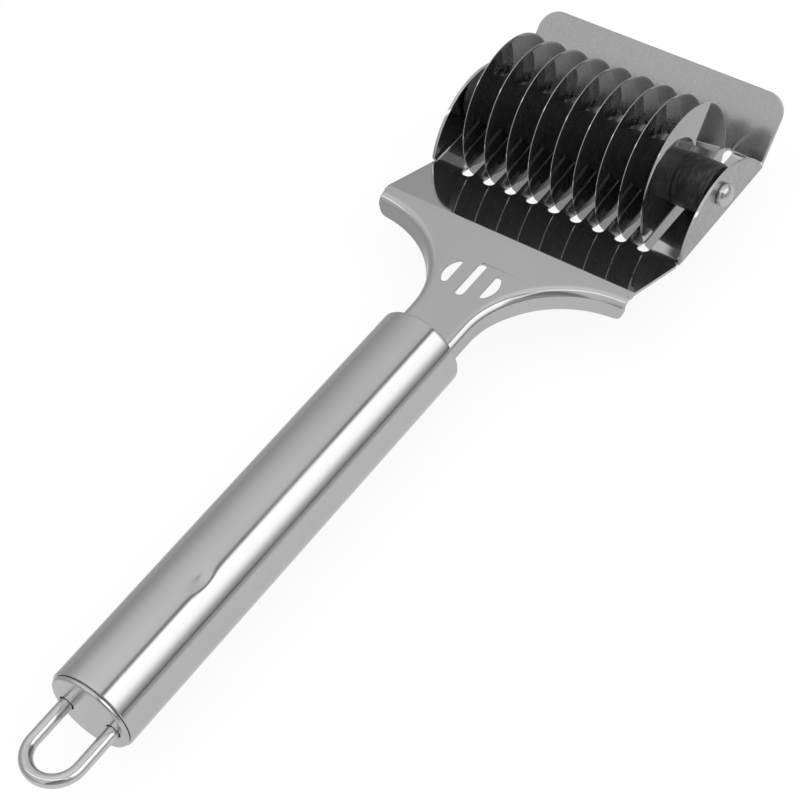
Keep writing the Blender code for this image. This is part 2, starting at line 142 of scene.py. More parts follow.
# The floor is white paper. What the camera and the steel see of it is part light of its own, so that it
# reads as white and still takes the cutter's shadow. The steel sees it bright from under the cutter to
# its right, and dimmer on both sides of that.
paper_grey = 0.78
paper_white = (paper_grey, paper_grey, paper_grey, 1)
paper_seen = 1.07
paper_dim = 0.30
paper_lit = 0.76
camera_share = 0.84
steel_share = 0.45
paper = bpy.data.materials.new("white_paper")
paper.use_nodes = True
paper.node_tree.nodes.clear()
floor_mesh.materials.append(paper)
tree = paper.node_tree
seen = Signal.node(tree, "ShaderNodeLightPath", output="Is Camera Ray")
glossy = Signal.node(tree, "ShaderNodeLightPath", output="Is Glossy Ray")
through = Signal.node(tree, "ShaderNodeLightPath", output="Is Transmission Ray")
matt = Signal.node(tree, "ShaderNodeBsdfDiffuse", sockets={"Color": paper_white})
place = Signal.node(tree, "ShaderNodeTexCoord", output="Object")
across = Signal.node(tree, "ShaderNodeSeparateXYZ", sockets={0: place}, output="X")
lit_part = across.rise(-0.048, -0.022) * across.rise(0.16, 0.09)
strength = (1 - seen) * (lit_part * paper_lit + paper_dim) + seen * paper_seen
glow = Signal.node(tree, "ShaderNodeEmission", sockets={"Strength": strength})
share = seen * camera_share + glossy * steel_share + through * steel_share
sheet_of_paper = Signal.node(tree, "ShaderNodeMixShader", sockets={0: share, 1: matt, 2: glow})
Signal.node(tree, "ShaderNodeOutputMaterial", sockets={"Surface": sheet_of_paper})

# The room round it: dim at the height of the table, paler overhead and darker round the camera, with
# the long soft box and the dark stand beside it to the right, and a narrow strip lamp high behind the
# camera. The floor hides its lower half. Lean is the angle from straight up in degrees, to the right
# where it is above 0, and along runs from -1 behind the handle to 1 past the lip.
room_light = 0.54
upper_light = 0.46
ceiling_light = 0.22
box_light = 1.6
lamp_light = 1.4
camera_shade = 0.55
stand_shade = 0.7
table_shade = 0.7
room = bpy.data.worlds.new("room")
room.use_nodes = True
room.node_tree.nodes.clear()
bpy.context.scene.world = room
tree = room.node_tree
direction = Signal.node(tree, "ShaderNodeTexCoord", output="Generated")
across = Signal.node(tree, "ShaderNodeSeparateXYZ", sockets={0: direction}, output="X")
along = Signal.node(tree, "ShaderNodeSeparateXYZ", sockets={0: direction}, output="Y")
up = Signal.node(tree, "ShaderNodeSeparateXYZ", sockets={0: direction}, output="Z")
lean = across.math("ARCTAN2", across, up) * math.degrees(1)
dome = room_light + lean.rise(-100, 0) * lean.rise(80, 0) * upper_light
above = lean.rise(-75, -40) * lean.rise(60, 20)
overhead = along.rise(-0.5, -0.15) * along.rise(0.5, 0.25) * above * ceiling_light
behind = along.rise(-0.2, -0.5) * lean.rise(5, 22) * lean.rise(70, 50) * camera_shade
strip_reach = lean.rise(-60, -40) * lean.rise(60, 40)
strip_lamp = along.rise(-0.46, -0.38) * along.rise(-0.28, -0.34) * strip_reach
box_reach = along.rise(-0.35, -0.1) * along.rise(0.64, 0.54)
dark_stand = lean.rise(19, 24) * lean.rise(31, 27) * stand_shade
soft_box = lean.rise(28, 33) * lean.rise(86, 56) * box_reach * box_light
table_edge = 1 - lean.rise(85, 88) * table_shade
far_light = (dome + overhead) * (1 - dark_stand) * (1 - behind)
light = (far_light + soft_box + strip_lamp * lamp_light) * table_edge
backdrop = Signal.node(tree, "ShaderNodeBackground", sockets={"Strength": light})
Signal.node(tree, "ShaderNodeOutputWorld", sockets={"Surface": backdrop})


# Cutting discs
# Nine thin discs, punched from hard stainless strip and polished on both faces, with a bore that runs
# on the axle. They stand one pitch apart along it.
def lathe(name, profile, steps, closed):
    """A mesh turned about Z from (radius, height) points. A closed profile leaves a bore."""
    weld_distance = 1e-7
    bm = bmesh.new()
    points = [bm.verts.new((radius, 0, height)) for radius, height in profile]
    pairs = list(zip(points, points[1:]))
    if closed:
        pairs.append((points[-1], points[0]))
    edges = [bm.edges.new(pair) for pair in pairs]
    bmesh.ops.spin(
        bm,
        geom=points + edges,
        axis=(0, 0, 1),
        cent=(0, 0, 0),
        angle=2 * math.pi,
        steps=steps,
        use_merge=True,
    )
    bmesh.ops.remove_doubles(bm, verts=bm.verts, dist=weld_distance)
    bmesh.ops.recalc_face_normals(bm, faces=bm.faces)
    mesh = bpy.data.meshes.new(name)
    bm.to_mesh(mesh)
    bm.free()
    return mesh


def arc(centre, radius, start, end, steps):
    """Points on a circle from one angle to another, both ends included."""
    angles = [start + (end - start) * step / steps for step in range(steps + 1)]
    return [
        (centre[0] + radius * math.cos(angle), centre[1] + radius * math.sin(angle)) for angle in angles
    ]


def piece(name, mesh, body, nodes, finish=None, flats=False):
    """An object for a finished mesh, which rides its body and stands for its nodes.

    With flats, the normals at the edge of a flat face follow that face, so that only the folds shade round.
    """
    crease = math.radians(30)
    mesh.name = name
    if finish:
        mesh.materials.clear()
        mesh.materials.append(finish)
    mesh.shade_smooth()
    mesh.set_sharp_from_angle(angle=crease)
    made = added(name, mesh)
    if flats:
        weights = made.modifiers.new("flats", "WEIGHTED_NORMAL")
        weights.keep_sharp = True
        graph = bpy.context.evaluated_depsgraph_get()
        made.data = bpy.data.meshes.new_from_object(made.evaluated_get(graph), depsgraph=graph)
        made.modifiers.clear()
        made.data.name = name
    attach(made, body)
    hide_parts(*nodes)


def finish_of(name, shade, roughness, metallic):
    """A new material, its shader node, and the Object coordinates that its patterns read.

    The shade and the roughness are its plain values, which its patterns then vary.
    """
    made = bpy.data.materials.new(name)
    made.use_nodes = True
    shader = made.node_tree.nodes["Principled BSDF"]
    shader.inputs["Base Color"].default_value = (shade, shade, shade, 1)
    shader.inputs["Roughness"].default_value = roughness
    shader.inputs["Metallic"].default_value = metallic
    return made, shader, Signal.node(made.node_tree, "ShaderNodeTexCoord", output="Object")


def feed(shader, key, signal):
    """Links a signal to one of the shader's sockets."""
    signal.tree.links.new(signal.socket, shader.inputs[key])


def moved(place, location=(0, 0, 0), scale=(1, 1, 1)):
    """Coordinates taken from another centre and stretched by scale, which sets a pattern's fineness."""
    shifted = Signal.node(
        place.tree, "ShaderNodeVectorMath", {"operation": "SUBTRACT"}, {0: place, 1: location}
    )
    return Signal.node(
        place.tree, "ShaderNodeVectorMath", {"operation": "MULTIPLY"}, {0: shifted, 1: scale}
    )


def noise(place, scale, detail, roughness):
    """Noise of about scale lumps to a metre, with detail finer layers, each roughness times as strong."""
    return Signal.node(
        place.tree,
        "ShaderNodeTexNoise",
        sockets={"Vector": place, "Scale": scale, "Detail": detail, "Roughness": roughness},
    )


def grey(signal):
    """A colour of equal parts from a number."""
    return Signal.node(signal.tree, "ShaderNodeCombineColor", sockets={0: signal, 1: signal, 2: signal})


def bump(height, depth, strength=1.0):
    """A normal that follows a height of 0 to 1, depth metres high."""
    return Signal.node(
        height.tree,
        "ShaderNodeBump",
        sockets={"Height": height, "Distance": depth, "Strength": strength},
    )


disc_names = sorted(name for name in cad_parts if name.startswith("disc_"))
first_low, first_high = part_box(disc_names[0])
second_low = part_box(disc_names[1])[0]
axle_centre = Vector((0, (first_low.y + first_high.y) / 2, (first_low.z + first_high.z) / 2))
disc_radius = (first_high.z - first_low.z) / 2
disc_half = (first_high.x - first_low.x) / 2
disc_pitch = second_low.x - first_low.x
first_disc = (first_low.x + first_high.x) / 2
axle_radius = 0.0020
running_gap = 0.0001
disc_bore = axle_radius + running_gap
disc_edge = 0.0002
disc_bevel = 0.0006
disc_sides = 160
on_axle = Matrix.Translation(axle_centre) @ Matrix.Rotation(math.pi / 2, 4, "Y")

disc_finish, shader, place = finish_of("polished_disc_steel", shade=0.47, roughness=0.03, metallic=0.95)
from_axle = moved(place, axle_centre)
radius_out = Signal.node(
    place.tree,
    "ShaderNodeVectorMath",
    {"operation": "LENGTH"},
    {0: moved(from_axle, scale=(0, 1, 1))},
    output="Value",
)
ring_place = Signal.node(place.tree, "ShaderNodeCombineXYZ", sockets={0: radius_out})
rings = noise(ring_place, 5200, 3, 0.7)
haze = noise(from_axle, 90, 3, 0.5)
feed(shader, "Base Color", grey(0.40 + haze * 0.05 - rings * 0.02))
feed(shader, "Roughness", 0.02 + haze.rise(0.4, 0.8) * 0.02)

disc_profile = [
    (disc_bore, -disc_half),
    (disc_radius - disc_bevel, -disc_half),
    (disc_radius, -disc_edge / 2),
    (disc_radius, disc_edge / 2),
    (disc_radius - disc_bevel, disc_half),
    (disc_bore, disc_half),
]


def finished_mesh(shaped, *cutters):
    """The mesh that an object's modifiers leave. They go, and so do the object and its cutters."""
    graph = bpy.context.evaluated_depsgraph_get()
    mesh = bpy.data.meshes.new_from_object(shaped.evaluated_get(graph), depsgraph=graph)
    shaped.modifiers.clear()
    for used in (shaped, *cutters):
        bpy.data.objects.remove(used)
    return mesh


def repeated(mesh, name, count, start, step, finish):
    """The mesh set out count times in a row from start by Geometry Nodes, read back as one mesh."""
    nodes = bpy.data.node_groups.new(name, "GeometryNodeTree")
    nodes.interface.new_socket("Piece", in_out="INPUT", socket_type="NodeSocketGeometry")
    inputs = {}
    for label, kind in (("Count", "Int"), ("Start", "Vector"), ("Step", "Vector"), ("Finish", "Material")):
        made = nodes.interface.new_socket(label, in_out="INPUT", socket_type=f"NodeSocket{kind}")
        inputs[label] = made.identifier
    nodes.interface.new_socket("Row", in_out="OUTPUT", socket_type="NodeSocketGeometry")
    given = nodes.nodes.new("NodeGroupInput")
    line = nodes.nodes.new("GeometryNodeMeshLine")
    copies = nodes.nodes.new("GeometryNodeInstanceOnPoints")
    solid = nodes.nodes.new("GeometryNodeRealizeInstances")
    coat = nodes.nodes.new("GeometryNodeSetMaterial")
    result = nodes.nodes.new("NodeGroupOutput")
    for source, target in (
        (given.outputs["Count"], line.inputs["Count"]),
        (given.outputs["Start"], line.inputs["Start Location"]),
        (given.outputs["Step"], line.inputs["Offset"]),
        (line.outputs["Mesh"], copies.inputs["Points"]),
        (given.outputs["Piece"], copies.inputs["Instance"]),
        (copies.outputs["Instances"], solid.inputs["Geometry"]),
        (solid.outputs["Geometry"], coat.inputs["Geometry"]),
        (given.outputs["Finish"], coat.inputs["Material"]),
        (coat.outputs["Geometry"], result.inputs["Row"]),
    ):
        nodes.links.new(source, target)
    carrier = added(name, mesh)
    modifier = carrier.modifiers.new(name, "NODES")
    modifier.node_group = nodes
    values = {"Count": count, "Start": start, "Step": step, "Finish": finish}
    for label, value in values.items():
        modifier[inputs[label]] = value
    return finished_mesh(carrier)


one_disc = lathe("disc", disc_profile, disc_sides, closed=True)
one_disc.transform(on_axle)
disc_row = repeated(
    one_disc, "disc_row", len(disc_names), (first_disc, 0, 0), (disc_pitch, 0, 0), disc_finish
)
piece("cutting_discs", disc_row, "roller", disc_names)


# Spacers
# Eight short black collars, moulded in nylon, keep the discs apart and turn with them. Each is a plain
# ring with a small chamfer at both ends, rubbed paler here and there.
spacer_names = sorted(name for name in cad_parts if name.startswith("spacer_"))
spacer_low, spacer_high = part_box(spacer_names[0])
spacer_radius = (spacer_high.z - spacer_low.z) / 2
spacer_half = disc_pitch / 2 - disc_half
spacer_chamfer = 0.00015
spacer_sides = 96

black_finish, shader, place = finish_of("black_nylon", shade=0.010, roughness=0.34, metallic=0)
shader.inputs["Specular IOR Level"].default_value = 0.35
from_axle = moved(place, axle_centre)
moulded = noise(from_axle, 900, 3, 0.6)
rubbed = noise(moved(from_axle, scale=(1, 0.25, 0.25)), 1500, 4, 0.65)
feed(shader, "Base Color", grey(0.012 + rubbed.rise(0.40, 0.75) * 0.045))
feed(shader, "Roughness", 0.22 + rubbed * 0.30)
feed(shader, "Normal", bump(moulded * 0.5 + rubbed * 0.5, depth=0.00002, strength=0.6))

spacer_profile = [
    (disc_bore, -spacer_half),
    (spacer_radius - spacer_chamfer, -spacer_half),
    (spacer_radius, -spacer_half + spacer_chamfer),
    (spacer_radius, spacer_half - spacer_chamfer),
    (spacer_radius - spacer_chamfer, spacer_half),
    (disc_bore, spacer_half),
]
one_spacer = lathe("spacer", spacer_profile, spacer_sides, closed=True)
one_spacer.transform(on_axle)
spacer_row = repeated(
    one_spacer,
    "spacer_row",
    len(spacer_names),
    (first_disc + disc_pitch / 2, 0, 0),
    (disc_pitch, 0, 0),
    black_finish,
)
piece("spacers", spacer_row, "roller", spacer_names)


# End bushes
# A longer black collar at each end of the roller, with a slightly smaller ring where it faces the ear.
# Both are moulded in the spacers' nylon and turn with them.
last_disc_face = first_disc + (len(disc_names) - 1) * disc_pitch + disc_half
bush_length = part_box("end_bush_right")[1].x - last_disc_face
bush_ring = 0.0012
bush_step = 0.00018
bush_chamfer = 0.00035
bush_profile = [
    (disc_bore, 0),
    (spacer_radius - spacer_chamfer, 0),
    (spacer_radius, spacer_chamfer),
    (spacer_radius, bush_length - bush_ring - bush_step),
    (spacer_radius - bush_step, bush_length - bush_ring),
    (spacer_radius - bush_step, bush_length - bush_chamfer),
    (spacer_radius - bush_step - bush_chamfer, bush_length),
    (disc_bore, bush_length),
]
for side, name in ((1, "end_bush_right"), (-1, "end_bush_left")):
    bush = lathe(name, bush_profile, spacer_sides, closed=True)
    outwards = Matrix.Rotation(side * math.pi / 2, 4, "Y")
    at_disc = Matrix.Translation(axle_centre + Vector((side * last_disc_face, 0, 0)))
    bush.transform(at_disc @ outwards)
    piece(f"{name}_collar", bush, "roller", [name], black_finish)


# Axle
# A plain steel pin through both ears, on which the roller turns. Each end is riveted over into a low
# bright dome with hammer marks.
ear_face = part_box("head_plate")[1].x
head_radius = 0.0029
head_rim = 0.0013
head_seat = ear_face
head_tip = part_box("axle")[1].x
head_dome = head_tip - head_seat - head_rim
head_edge = 0.00025
axle_sides = 64
dome_steps = 12

rivet_finish, shader, place = finish_of("bright_rivet_steel", shade=0.56, roughness=0.22, metallic=1)
peened = noise(place, 1300, 3, 0.6)
feed(shader, "Base Color", grey(0.46 + peened * 0.20))
feed(shader, "Roughness", 0.18 + peened.rise(0.4, 0.8) * 0.16)
feed(shader, "Normal", bump(peened, depth=0.00008, strength=0.9))

dome_ball = (head_radius**2 + head_dome**2) / (2 * head_dome)
dome_centre = head_tip - dome_ball
dome_rise = math.asin((head_radius - head_edge) / dome_ball)
dome_curve = arc((0, dome_centre), dome_ball, math.pi / 2 - dome_rise, math.pi / 2, dome_steps)
right_end = [
    (axle_radius, head_seat),
    (head_radius - head_edge, head_seat),
    (head_radius, head_seat + head_edge),
    (head_radius, head_seat + head_rim - head_edge),
    *dome_curve[:-1],
    (0, head_tip),
]
left_end = [(radius, -height) for radius, height in reversed(right_end)]
axle = lathe("axle_pin", left_end + right_end, axle_sides, closed=False)
axle.transform(on_axle)
piece("axle_pin", axle, "frame", ["axle"], rivet_finish)


# Head sheet
# One stainless sheet, blanked and pressed: a turned-up lip, a flat tray with a slot for each disc, two
# half-moon ears, a ramp, and a neck whose sides are folded down and run into the handle as a tang.
sheet = 0.0008
tray_drop = 0.00764
neck_drop = 0.00052
far_bend = 0.019256
near_bend = 0.018796
upper_bend = 0.036964
lip_length = 0.0175
lip_angle = math.radians(40.6)
lip_corner = 0.0053
far_radius = 0.0030
near_radius = 0.0100
upper_radius = 0.0012
shoulder_length = 0.0022
shoulder_tip = 0.0003
shoulder_corner = 0.0006
shoulder_relief = 0.00025
neck_half = 0.00592
neck_curve_length = 0.0259
flange_depth = 0.0049
flange_radius = 0.0025
flange_end_round = 0.0026
flange_splay = math.radians(15)
splay_fade = math.radians(30)
ear_top = 0.0052
ear_end_height = 0.0010
ear_radius_in = 0.0008
ear_relief = 0.0008
ear_outset = 0.0007
slot_room_left = 0.0003
slot_room_right = 0.00125
slot_room_near = 0.0007
slot_room_far = 0.0012
slot_flare = 0.0010
slot_flare_length = 0.0052
neck_slot_back = 0.0154
middle_slot_width = 0.0023
middle_slot_length = 0.0112
side_slot_offset = 0.00465
side_slot_width = 0.00285
side_slot_length = 0.0076
side_slot_corner = 0.0008
ear_hole_room = 0.0002
edge_round = 0.0001
edge_strip = 0.0005
cut_overrun = 0.002
cut_below = 0.003
bend_steps = 10
lip_corner_steps = 24
neck_steps = 56
ear_steps = 72
ear_fold_steps = 6
flange_fold_steps = 14
slot_steps = 20
neck_slot_steps = 16
hole_sides = 48
closest_rows = 0.00005

half_width = ear_face - ear_outset
tang_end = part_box("head_plate")[0].y - axle_centre.y
neck_curve_width = half_width - shoulder_tip - neck_half
neck_centre = upper_bend + shoulder_length + neck_curve_length
lip_end = far_bend + lip_length * math.cos(lip_angle)
lip_top = lip_length * math.sin(lip_angle) - tray_drop
ear_fold = ear_face - sheet - ear_radius_in


def rounded_corner(before, corner, after, radius, steps):
    """The arc that rounds a corner between two straight runs."""
    back = (before - corner).normalized()
    ahead = (after - corner).normalized()
    half = back.angle(ahead) / 2
    centre = corner + (back + ahead).normalized() * radius / math.sin(half)
    first = corner + back * radius / math.tan(half) - centre
    last = corner + ahead * radius / math.tan(half) - centre
    turn = math.atan2(first.x * last.y - first.y * last.x, first.dot(last))
    start = math.atan2(first.y, first.x)
    return [Vector(point) for point in arc(centre, radius, start, start + turn, steps)]


def value_at(points, place):
    """Linear reading of a list of (place, value), whose places fall from first to last."""
    for (place_a, value_a), (place_b, value_b) in zip(points, points[1:]):
        if place >= place_b:
            return value_a + (value_b - value_a) * (place_a - place) / (place_a - place_b)
    return points[-1][1]


corners = [
    Vector((lip_end, lip_top)),
    Vector((far_bend, -tray_drop)),
    Vector((-near_bend, -tray_drop)),
    Vector((-upper_bend, -neck_drop)),
    Vector((tang_end, -neck_drop)),
]
sheet_path = [corners[0]]
for number, radius in enumerate((far_radius, near_radius, upper_radius), start=1):
    sheet_path += rounded_corner(*corners[number - 1 : number + 2], radius, bend_steps)
sheet_path.append(corners[-1])

lip_curve = arc((0, half_width - lip_corner), lip_corner, 0, math.pi / 2, lip_corner_steps)
lip_corner_y = lip_end - lip_corner * math.cos(lip_angle)
sheet_edge = [(lip_corner_y + out * math.cos(lip_angle), width) for out, width in lip_curve]
ear_half = (near_bend + far_bend) / 2
ear_rise = ear_top + tray_drop
ear_radius = (ear_half**2 + ear_rise**2) / (2 * ear_rise)
ear_centre = ear_top - ear_radius
ear_end = math.sqrt(ear_radius**2 - (ear_end_height - tray_drop - ear_centre) ** 2)
sheet_edge += [(ear_end + ear_relief, half_width), (ear_end, ear_fold)]
sheet_edge += [(-ear_end, ear_fold), (-ear_end - ear_relief, half_width)]
shoulder_end = upper_bend + shoulder_length
tip_centre = (-shoulder_end + shoulder_relief + shoulder_corner, half_width - shoulder_corner)
sheet_edge += arc(tip_centre, shoulder_corner, math.pi / 2, math.pi, bend_steps)
neck_turns = [math.pi / 2 * (1 + step / neck_steps) for step in range(neck_steps + 1)]
neck_rows = [
    (neck_curve_length * math.sin(turn) - neck_centre, neck_half + neck_curve_width * (1 + math.cos(turn)))
    for turn in neck_turns
]
sheet_edge += [*neck_rows, (tang_end, neck_half)]


def ear_points(y, height):
    """The fold and the top of the right ear at one place along Y."""
    fold_centre = (ear_fold, height + ear_radius_in)
    fold = arc(fold_centre, ear_radius_in, -math.pi / 2, 0, ear_fold_steps)[1:]
    top = ear_centre + math.sqrt(ear_radius**2 - y**2)
    return [Vector((x, y, z)) for x, z in fold] + [Vector((ear_face - sheet, y, top))]


def flange_points(y, turn):
    """The fold and the lower edge of the right flange, where the neck's side has turned that far."""
    short_of_round = max(flange_end_round - neck_curve_width * (turn - math.pi / 2), 0)
    depth = flange_depth - flange_end_round + math.sqrt(flange_end_round**2 - short_of_round**2)
    splay = flange_splay * min((math.pi - turn) / splay_fade, 1)
    fold = arc((0, -flange_radius), flange_radius, math.pi / 2, splay, flange_fold_steps)[1:]
    foot = (fold[-1][0] + (depth + fold[-1][1]) * math.tan(splay), -depth)
    slope = Vector((math.cos(turn) * neck_curve_length, math.sin(turn) * neck_curve_width, 0))
    side = Vector((neck_half + neck_curve_width * (1 + math.cos(turn)), y, -neck_drop))
    return [side - slope.normalized() * out + Vector((0, 0, down)) for out, down in [*fold, foot]]


needed = [y for y, width in sheet_edge]
needed += [ear_end * math.cos(math.pi * step / ear_steps) for step in range(1, ear_steps)]
bends = [y for y, height in sheet_path[1:-1]]
needed += [y for y in bends if min(abs(y - other) for other in needed) > closest_rows]
turn_at = [(y, turn) for (y, width), turn in zip(neck_rows, neck_turns)]
skin = bmesh.new()
lines = []
for y in sorted(needed, reverse=True):
    height = value_at(sheet_path, y)
    edge = value_at(sheet_edge, y)
    right = [Vector((edge - edge_strip, y, height)), Vector((edge, y, height))]
    if abs(y) <= ear_end:
        right += ear_points(y, height)
    elif y <= turn_at[0][0]:
        right += flange_points(y, value_at(turn_at, y))
    left = [Vector((-point.x, point.y, point.z)) for point in right]
    lines.append([[skin.verts.new(point + axle_centre) for point in side] for side in (left, right)])
for (left_a, right_a), (left_b, right_b) in zip(lines, lines[1:]):
    skin.faces.new((left_a[0], left_b[0], right_b[0], right_a[0]))
    for step in range(min(len(right_a), len(right_b)) - 1):
        skin.faces.new((right_a[step], right_b[step], right_b[step + 1], right_a[step + 1]))
        skin.faces.new((left_a[step + 1], left_b[step + 1], left_b[step], left_a[step]))
head_mesh = bpy.data.meshes.new("head_sheet")
skin.to_mesh(head_mesh)
skin.free()


def add_prism(bm, outline, bottom, top):
    """An outline in XY, extruded from one height to another."""
    base = bm.faces.new([bm.verts.new((x, y, bottom)) for x, y in outline])
    risen = bmesh.ops.extrude_face_region(bm, geom=[base])["geom"]
    bmesh.ops.translate(
        bm, verts=[item for item in risen if isinstance(item, bmesh.types.BMVert)], vec=(0, 0, top - bottom)
    )


def stadium(middle, x, width, length, steps):
    """A slot's outline with half-round ends, its length along Y."""
    run = (length - width) / 2
    far = arc((x, middle + run), width / 2, 0, math.pi, steps)
    return far + arc((x, middle - run), width / 2, math.pi, 2 * math.pi, steps)


def bulged_slot(middle, inner, width, length, corner, steps):
    """A slot with a straight inner edge and a bulging outer one, with rounded ends."""
    reach = length / 2 - corner
    bulge = ((width - corner) ** 2 + reach**2 - corner**2) / (2 * (width - 2 * corner))
    turn = math.asin(reach / (bulge - corner))
    outline = arc((inner + width - bulge, middle), bulge, -turn, turn, steps)
    outline += arc((inner + corner, middle + reach), corner, turn, math.pi, steps)[1:]
    return outline + arc((inner + corner, middle - reach), corner, math.pi, 2 * math.pi - turn, steps)[:-1]


def cutter_object(name, bm):
    """An object that holds shapes to be cut away."""
    bmesh.ops.recalc_face_normals(bm, faces=bm.faces)
    mesh = bpy.data.meshes.new(name)
    bm.to_mesh(mesh)
    bm.free()
    return added(name, mesh)


def cut_away(shaped, cutter):
    """Cuts a cutter's shapes out of an object."""
    cut = shaped.modifiers.new(cutter.name, "BOOLEAN")
    cut.operation = "DIFFERENCE"
    cut.solver = "EXACT"
    cut.object = cutter


def soften_edges(shaped, width, angle):
    """Rounds each edge of an object that turns by more than an angle."""
    soften = shaped.modifiers.new("edges", "BEVEL")
    soften.width = width
    soften.segments = 2
    soften.limit_method = "ANGLE"
    soften.angle_limit = angle
    soften.use_clamp_overlap = False


slot_left = -disc_half - slot_room_left
slot_right = disc_half + slot_room_right
far_round = (slot_right - slot_left) / 2
near_round = far_round + slot_flare / 2
slot_far = axle_centre.y + disc_radius + slot_room_far - far_round
slot_near = axle_centre.y - disc_radius - slot_room_near + near_round
slot_outline = arc((slot_right - far_round, slot_far), far_round, 0, math.pi, slot_steps)
slot_outline.append((slot_left, slot_near + slot_flare_length))
slot_outline += arc((slot_right - near_round, slot_near), near_round, math.pi, 2 * math.pi, slot_steps)
cuts = bmesh.new()
below_tray = axle_centre.z - tray_drop - cut_below
for number in range(len(disc_names)):
    disc_place = first_disc + number * disc_pitch
    add_prism(cuts, [(disc_place + x, y) for x, y in slot_outline], below_tray, axle_centre.z)
neck_slot_y = axle_centre.y - upper_bend - neck_slot_back
middle_slot = stadium(neck_slot_y, 0, middle_slot_width, middle_slot_length, neck_slot_steps)
side_slot = bulged_slot(
    neck_slot_y,
    side_slot_offset,
    side_slot_width,
    side_slot_length,
    side_slot_corner,
    neck_slot_steps,
)
for outline in (middle_slot, side_slot, [(-x, y) for x, y in side_slot]):
    add_prism(cuts, outline, axle_centre.z - neck_drop - cut_below, axle_centre.z + cut_overrun)
slot_cutter = cutter_object("slot_cutter", cuts)
axle_hole = bmesh.new()
bmesh.ops.create_cone(
    axle_hole,
    cap_ends=True,
    segments=hole_sides,
    radius1=axle_radius + ear_hole_room,
    radius2=axle_radius + ear_hole_room,
    depth=2 * ear_face + 2 * cut_overrun,
    matrix=on_axle,
)
hole_cutter = cutter_object("hole_cutter", axle_hole)

head = added("head_shaping", head_mesh)
thicken = head.modifiers.new("thickness", "SOLIDIFY")
thicken.thickness = sheet
thicken.offset = -1
thicken.use_even_offset = True
cut_away(head, slot_cutter)
cut_away(head, hole_cutter)
soften_edges(head, edge_round, math.radians(50))
head_solid = finished_mesh(head, slot_cutter, hole_cutter)

sheet_finish, shader, place = finish_of("pressed_sheet_steel", shade=0.50, roughness=0.08, metallic=0.95)
from_axle = moved(place, axle_centre)
length_along = Signal.node(place.tree, "ShaderNodeSeparateXYZ", sockets={0: from_axle}, output="Y")
width_across = Signal.node(place.tree, "ShaderNodeSeparateXYZ", sockets={0: from_axle}, output="X")
lip_fade = 0.003
neck_start = -upper_bend - 0.001
neck_fade = 0.002
skin_depth = 0.00012
skin_fade = 0.00008
on_lip = length_along.rise(far_bend, far_bend + lip_fade)
on_neck = length_along.rise(neck_start, neck_start - neck_fade)
on_skin = width_across.math("ABSOLUTE", width_across)
on_ear = on_skin.rise(ear_face - skin_depth, ear_face - skin_depth + skin_fade)
haze = noise(from_axle, 45, 3, 0.5)
brushed = noise(moved(from_axle, scale=(1, 0.10, 0.10)), 2200, 4, 0.65)
grain = noise(from_axle, 1600, 4, 0.7)
scuffed = noise(moved(from_axle, scale=(0.25, 1, 1)), 700, 4, 0.65)
specks = noise(from_axle, 1900, 2, 0.5).rise(0.70, 0.76)
lip_wear = on_lip * (brushed * 0.06 + grain * 0.14 - 0.13)
neck_wear = on_neck * (grain * 0.06 - 0.02)
# The ear's outer face is painted darker than the rest of the sheet: painted shade, with scuff marks running
# through it.
ear_shade_and_scuffs = on_ear * (scuffed * 0.24 - 0.24)
feed(shader, "Base Color", grey(0.50 + haze * 0.05 + lip_wear + neck_wear + ear_shade_and_scuffs))
feed(shader, "Metallic", 0.96 - specks * 0.35)
satin = on_lip * (0.08 + brushed * 0.11) + on_neck * 0.09 + on_ear * 0.18
feed(shader, "Roughness", 0.05 + haze.rise(0.4, 0.8) * 0.03 + satin)
feed(shader, "Normal", bump(brushed * (0.2 + on_lip * 1.4) + scuffed * on_ear * 1.5, depth=0.000004))
piece("head_sheet", head_solid, "frame", ["head_plate"], sheet_finish, flats=True)


# Handle tube
# A length of thin stainless tube with a satin polish, open at both ends, with one small dent a little
# past two thirds of the way from the head. The neck's tang runs into its head end.
tube_low, tube_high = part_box("handle_tube")
tube_radius = (tube_high.x - tube_low.x) / 2
tube_wall = 0.0008
tube_edge = 0.00035
tube_axis = Vector((0, 0, (tube_low.z + tube_high.z) / 2))
tube_length = tube_high.y - tube_low.y
head_end = Vector((0, tube_high.y, tube_axis.z))
along_handle = Matrix.Translation(head_end) @ Matrix.Rotation(math.pi / 2, 4, "X")
dent_place = 0.0833
dent_turn = math.radians(23)
dent_reach = 0.0022
dent_depth = 0.00024
dent_stretch = 2.0
dent_steepness = 1.6
tube_sides = 224
tube_edge_steps = 5
outer_steps = 150

run = tube_length - 2 * tube_edge
outer_wall = [(tube_radius, tube_edge + run * step / outer_steps) for step in range(outer_steps + 1)]
edge_centre = tube_radius - tube_edge
head_edge_curve = arc((edge_centre, tube_edge), tube_edge, -math.pi / 2, 0, tube_edge_steps)
far_edge_curve = arc((edge_centre, tube_length - tube_edge), tube_edge, 0, math.pi / 2, tube_edge_steps)
tube_profile = [
    (tube_radius - tube_wall, 0),
    *head_edge_curve[:-1],
    *outer_wall,
    *far_edge_curve[1:],
    (tube_radius - tube_wall, tube_length),
]
tube = lathe("handle_tube", tube_profile, tube_sides, closed=True)
for vertex in tube.vertices:
    out = math.hypot(vertex.co.x, vertex.co.y)
    if out < tube_radius - tube_wall / 2:
        continue
    turn = math.atan2(vertex.co.x, vertex.co.y)
    off = math.hypot((vertex.co.z - dent_place) / dent_stretch, (turn - dent_turn) * tube_radius)
    sink = dent_depth * math.exp(-((off / dent_reach * dent_steepness) ** 2))
    vertex.co.x *= 1 - sink / out
    vertex.co.y *= 1 - sink / out
tube.transform(along_handle)

